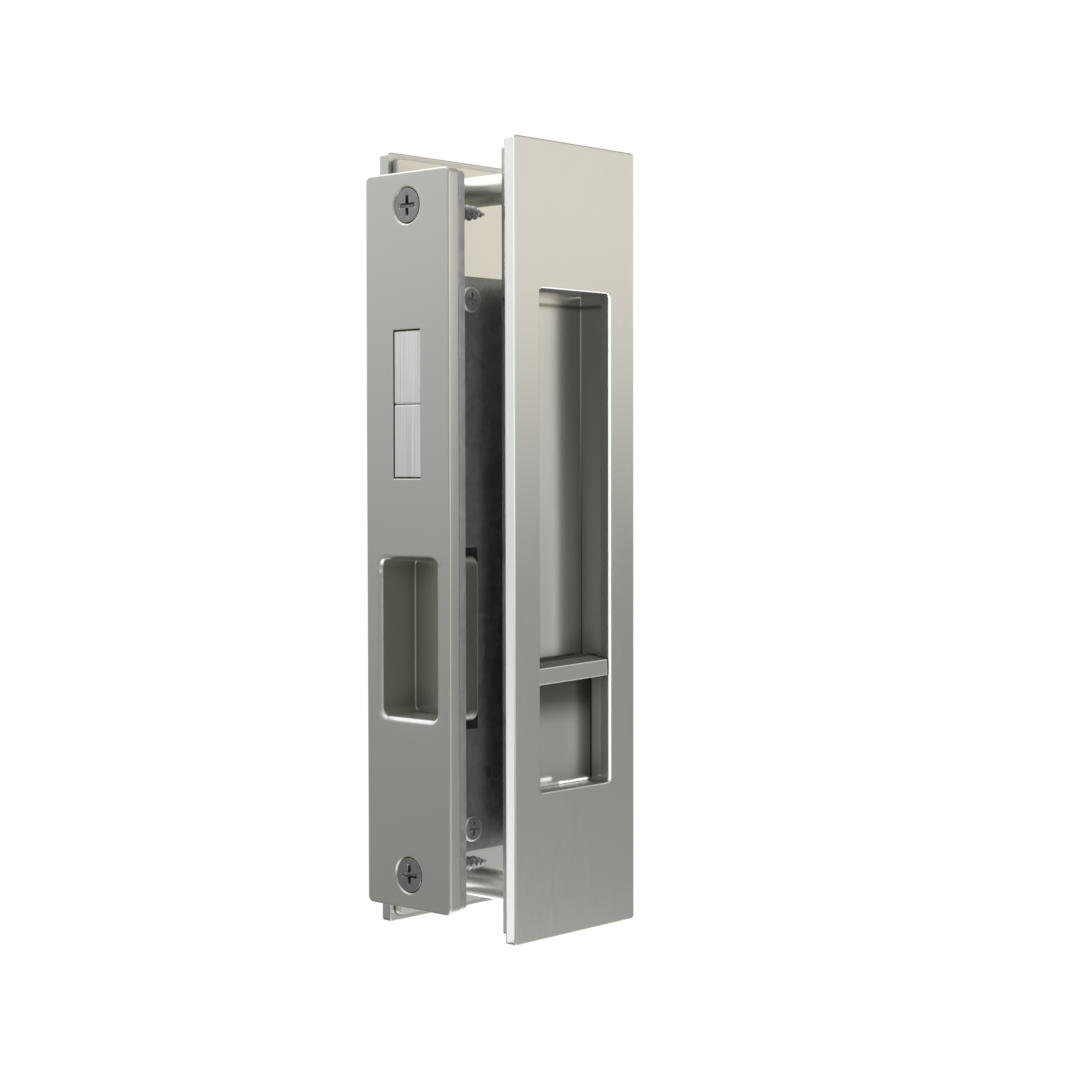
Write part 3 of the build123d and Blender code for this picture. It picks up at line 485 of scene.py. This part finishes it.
floor_z, floor_half, shadow_near, shadow_far = -0.17, 6.0, 0.07, 0.17
pale_floor, tree, place = new_material("pale_studio_floor")
flat_place = add(tree, "VectorMath", {0: place, 1: (1.0, 1.0, 0.0)}, operation="MULTIPLY")
distance = add(tree, "VectorMath", {0: flat_place.outputs[0]}, operation="LENGTH")
far = add(
    tree,
    "MapRange",
    {0: distance.outputs["Value"], 1: shadow_near, 2: shadow_far, 3: 0.0, 4: 1.0},
    interpolation_type="SMOOTHSTEP",
)
far_seen = add(tree, "Math", {0: far.outputs[0], 1: seen_directly(tree)}, operation="MULTIPLY")
matt = add(tree, "BsdfDiffuse", {"Color": linear("f6f6f5")})
white = add(tree, "Emission", {"Color": (1, 1, 1, 1), "Strength": 1.0})
floor_mix = add(tree, "MixShader", {0: far_seen.outputs[0], 1: matt.outputs[0], 2: white.outputs[0]})
add(tree, "OutputMaterial", {"Surface": floor_mix.outputs[0]})
corners = np.array([-floor_half, floor_half])
floor_x, floor_y = np.meshgrid(corners, corners)
floor = surface("floor", np.stack([floor_x, floor_y, np.full((2, 2), floor_z)], axis=-1), pale_floor)

world = bpy.data.worlds.new("white_surroundings")
bpy.context.scene.world = world
world.use_nodes = True
tree = world.node_tree
tree.nodes.clear()
world_light = 0.55  # what the white surroundings add to the lamp
world_level = add(tree, "MapRange", {0: seen_directly(tree), 1: 0.0, 2: 1.0, 3: world_light, 4: 1.0})
sky = add(tree, "Background", {"Color": (1, 1, 1, 1), "Strength": world_level.outputs[0]})
add(tree, "OutputWorld", {"Surface": sky.outputs[0]})


def smooth(value, start, end):
    """0 before start, 1 after end, and an eased rise between them."""
    part = np.clip((value - start) / (end - start), 0, 1)
    return part * part * (3 - 2 * part)


# The tent is a drum with a floor and a roof. Each column of its wall goes from one tone low down to another
# high up, and the tones change round it, so that each plate sees what gives it its own shade. Along runs
# from 0 to 1 over the floor, on to 2 up the wall and on to 3 over the roof.
tent_radius, tent_foot, tent_top, tent_hole = 0.25, -0.16, 0.32, 0.0005
top_starts, top_ends, roof_joint, floor_joint = 0.14, 0.20, (1.98, 2.02), (0.99, 1.03)
tent_tones = np.array(
    [  # azimuth, floor, wall low down, wall high up, wall at its top, roof, and where the wall's tone rises
        (-180, 1.0, 0.30, 0.60, 0.9, 0.9, -0.12, 0.12),
        (-155, 1.4, 0.34, 0.50, 0.6, 0.8, -0.05, 0.10),
        (-120, 1.4, 0.42, 0.50, 0.5, 0.8, -0.05, 0.10),
        (-110, 1.4, 0.50, 0.60, 0.5, 0.8, -0.05, 0.10),
        (-100, 1.4, 0.66, 1.25, 0.6, 0.8, -0.11, 0.06),
        (-82, 1.4, 0.70, 1.35, 0.6, 0.8, -0.11, 0.06),
        (-72, 1.3, 0.70, 1.25, 0.6, 0.7, -0.05, 0.08),
        (-60, 1.0, 0.46, 1.25, 0.6, 0.6, 0.00, 0.08),
        (-42, 0.8, 0.345, 1.12, 0.5, 0.5, -0.02, 0.08),
        (-20, 2.0, 0.42, 1.12, 0.5, 0.5, -0.03, 0.08),
        (0, 2.2, 0.40, 1.05, 0.4, 0.5, -0.02, 0.08),
        (45, 1.6, 0.35, 0.80, 0.8, 1.0, -0.05, 0.10),
        (62, 0.6, 0.40, 1.50, 1.8, 1.8, 0.02, 0.10),
        (90, 0.2, 0.50, 1.70, 2.0, 2.0, 0.02, 0.10),
        (112, 0.2, 0.41, 0.95, 1.9, 1.9, 0.00, 0.12),
        (138, 0.3, 0.365, 0.71, 1.5, 1.5, -0.12, 0.13),
        (158, 0.6, 0.34, 0.66, 1.0, 1.0, -0.12, 0.13),
        (168, 0.8, 0.30, 0.60, 0.9, 0.9, -0.12, 0.12),
        (180, 1.0, 0.30, 0.60, 0.9, 0.9, -0.12, 0.12),
    ]
)
along = np.concatenate([np.linspace(0, 1, 24), np.linspace(1, 2, 70)[1:], np.linspace(2, 3, 24)[1:]])[:, None]
tent_out = np.clip(np.minimum(along, 3 - along), 0, 1) * tent_radius + tent_hole
tent_up = tent_foot + np.clip(along - 1, 0, 1) * (tent_top - tent_foot)
turn = np.radians(np.arange(0, 360, 3))[None, :]
tent_points = np.stack([tent_out * np.cos(turn), tent_out * np.sin(turn), tent_up + 0 * turn], axis=-1)
azimuth = np.degrees(np.arctan2(tent_points[..., 1], tent_points[..., 0]))
floor_tone, low_tone, high_tone, top_tone, roof_tone, rise_start, rise_end = (
    np.interp(azimuth, tent_tones[:, 0], column) for column in tent_tones[:, 1:].T
)
rise = smooth(tent_up, rise_start, rise_end)
tone = low_tone + (high_tone - low_tone) * rise
tone = tone + (top_tone - tone) * smooth(tent_up, top_starts, top_ends)
tone = tone + (roof_tone - tone) * smooth(along, *roof_joint)
tone = floor_tone + (tone - floor_tone) * smooth(along, *floor_joint)
warm = np.interp(azimuth, [-100, -72, 20, 60], [0, 1, 1, 0]) * rise
tint = 1 - warm.reshape(-1, 1) * np.array([0.0, 0.06, 0.11])
colours = np.concatenate([tone.reshape(-1, 1) * tint, np.ones((tone.size, 1))], axis=1)
tent_cloth, tree, _ = new_material("tent_cloth")
shade = add(tree, "Attribute", attribute_name="tone")
glow = add(tree, "Emission", {"Color": shade.outputs["Color"], "Strength": 1.0})
add(tree, "OutputMaterial", {"Surface": glow.outputs[0]})
tent = surface("tent", tent_points, tent_cloth, closed=True)
shades = tent.data.attributes.new("tone", "FLOAT_COLOR", "POINT")
shades.data.foreach_set("color", colours.astype(np.float32).ravel())
tent.visible_camera = tent.visible_diffuse = tent.visible_shadow = tent.visible_transmission = False


def card(name, x, y, z, tones, colour=(0.96, 0.955, 1.0)):
    """A flat card between two corners, seen only from the side that its front faces. x, y and z are each a
    pair, the same twice where the card is square to that axis. The tones are at its foot, middle and top."""
    cloth, tree, place = new_material(name)
    back = add(tree, "NewGeometry").outputs["Backfacing"]
    height = add(tree, "SeparateXYZ", {0: place}).outputs["Z"]
    foot, middle, top = tones
    lower = add(tree, "MapRange", {0: height, 1: -card_half, 2: 0.0, 3: foot, 4: middle}).outputs[0]
    upper = add(tree, "MapRange", {0: height, 1: 0.0, 2: card_half, 3: 0.0, 4: top - middle}).outputs[0]
    level = add(tree, "Math", {0: lower, 1: upper}, operation="ADD").outputs[0]
    glow = add(tree, "Emission", {"Color": (*colour, 1.0), "Strength": level})
    clear = add(tree, "BsdfTransparent")
    mix = add(tree, "MixShader", {0: back, 1: glow.outputs[0], 2: clear.outputs[0]})
    add(tree, "OutputMaterial", {"Surface": mix.outputs[0]})
    row_y = ((y[0], y[0]), (y[1], y[1])) if z[0] == z[1] else (y, y)
    rows = [[(x[0], row_y[i][0], z[i]), (x[1], row_y[i][1], z[i])] for i in (0, 1)]
    made = surface(name, np.array(rows), cloth)
    made.visible_camera = made.visible_diffuse = made.visible_shadow = made.visible_transmission = False


# A white card lies beside the inside face plate and lights its side. Narrow ones stand close to rounded
# edges and light each as a thin bright line.
card_half = 0.0846
all_up, window_up, cup_up = (-card_half, card_half), (-0.0530, 0.0533), (-0.0368, -0.0044)
card("side_card", (-0.006, 0.0056), (-0.0183, -0.0183), all_up, (1.50, 1.12, 1.42))
card("left_edge_card", (0.0055, 0.0055), (-0.0220, -0.0207), all_up, (0.3, 1.4, 1.7))
card("right_edge_card", (0.03615, 0.03615), (-0.0220, -0.0202), window_up, (1.95, 1.95, 2.0))
card("top_edge_card", (0.0140, 0.0362), (-0.0220, -0.02035), (0.0531, 0.0531), (1.8, 1.8, 1.8))
card("cup_corner_card", (-0.0072, -0.00505), (0.0070, 0.0084), (-0.0068, -0.0068), (2.6, 2.6, 2.6))
card("cup_foot_card", (-0.0088, -0.0042), (0.0070, -0.0060), (-0.0365, -0.0365), (1.6, 1.6, 1.6))
card("recess_foot_card", (0.0359, 0.0266), (-0.0160, -0.0160), (-0.05315, -0.0527), (1.5, 1.5, 1.5))
card("recess_spot_card", (0.0242, 0.0205), (-0.0160, -0.0160), (-0.0523, -0.0514), (1.7, 1.7, 1.7))
card("bolt_edge_card", (-0.0051, -0.0064), (-0.0049, -0.0049), (0.0135, 0.0445), (0.8, 0.8, 0.8))

# Grey cards lie close to the walls of the recess, and brown ones to those of the finger cup. They keep the
# insides calm and dark.
grey, brown = (1.0, 1.0, 0.93), (1.0, 0.95, 0.80)
card("recess_back_card", (0.0137, 0.0363), (-0.01255, -0.01255), window_up, (0.095, 0.113, 0.137), grey)
card("recess_side_card", (0.0362, 0.0362), (-0.0126, -0.0196), window_up, (0.088, 0.092, 0.103), grey)
card("recess_slide_card", (0.0137, 0.0363), (-0.0154, -0.0154), (-0.0527, -0.0302), (0.155,) * 3, grey)
card("cup_top_card", (-0.0088, -0.0036), (-0.0078, 0.0069), (-0.0052, -0.0052), (0.09,) * 3, brown)
card("cup_side_card", (-0.0038, 0.0052), (0.0081, 0.0081), cup_up, (0.14,) * 3, brown)
card("cup_floor_card", (0.0051, 0.0051), (0.0081, -0.0081), cup_up, (0.14,) * 3, brown)

# The lamp is a wide square one, turned to shine at the middle of the lock.
lamp_place, lamp_aim, lamp_size, lamp_power = (-0.1, -0.15, 1.0), (0.02, 0.0, 0.0), 0.8, 6.0
light = bpy.data.lights.new("overhead_lamp", "AREA")
light.size, light.energy = lamp_size, lamp_power
overhead_lamp = bpy.data.objects.new("overhead_lamp", light)
bpy.context.scene.collection.objects.link(overhead_lamp)
overhead_lamp.location = lamp_place
ray_x, ray_y, ray_z = np.array(lamp_aim) - np.array(lamp_place)
tilt, heading = math.atan2(math.hypot(ray_x, ray_y), -ray_z), math.atan2(ray_y, ray_x) - math.pi / 2
overhead_lamp.rotation_euler = (tilt, 0.0, heading)
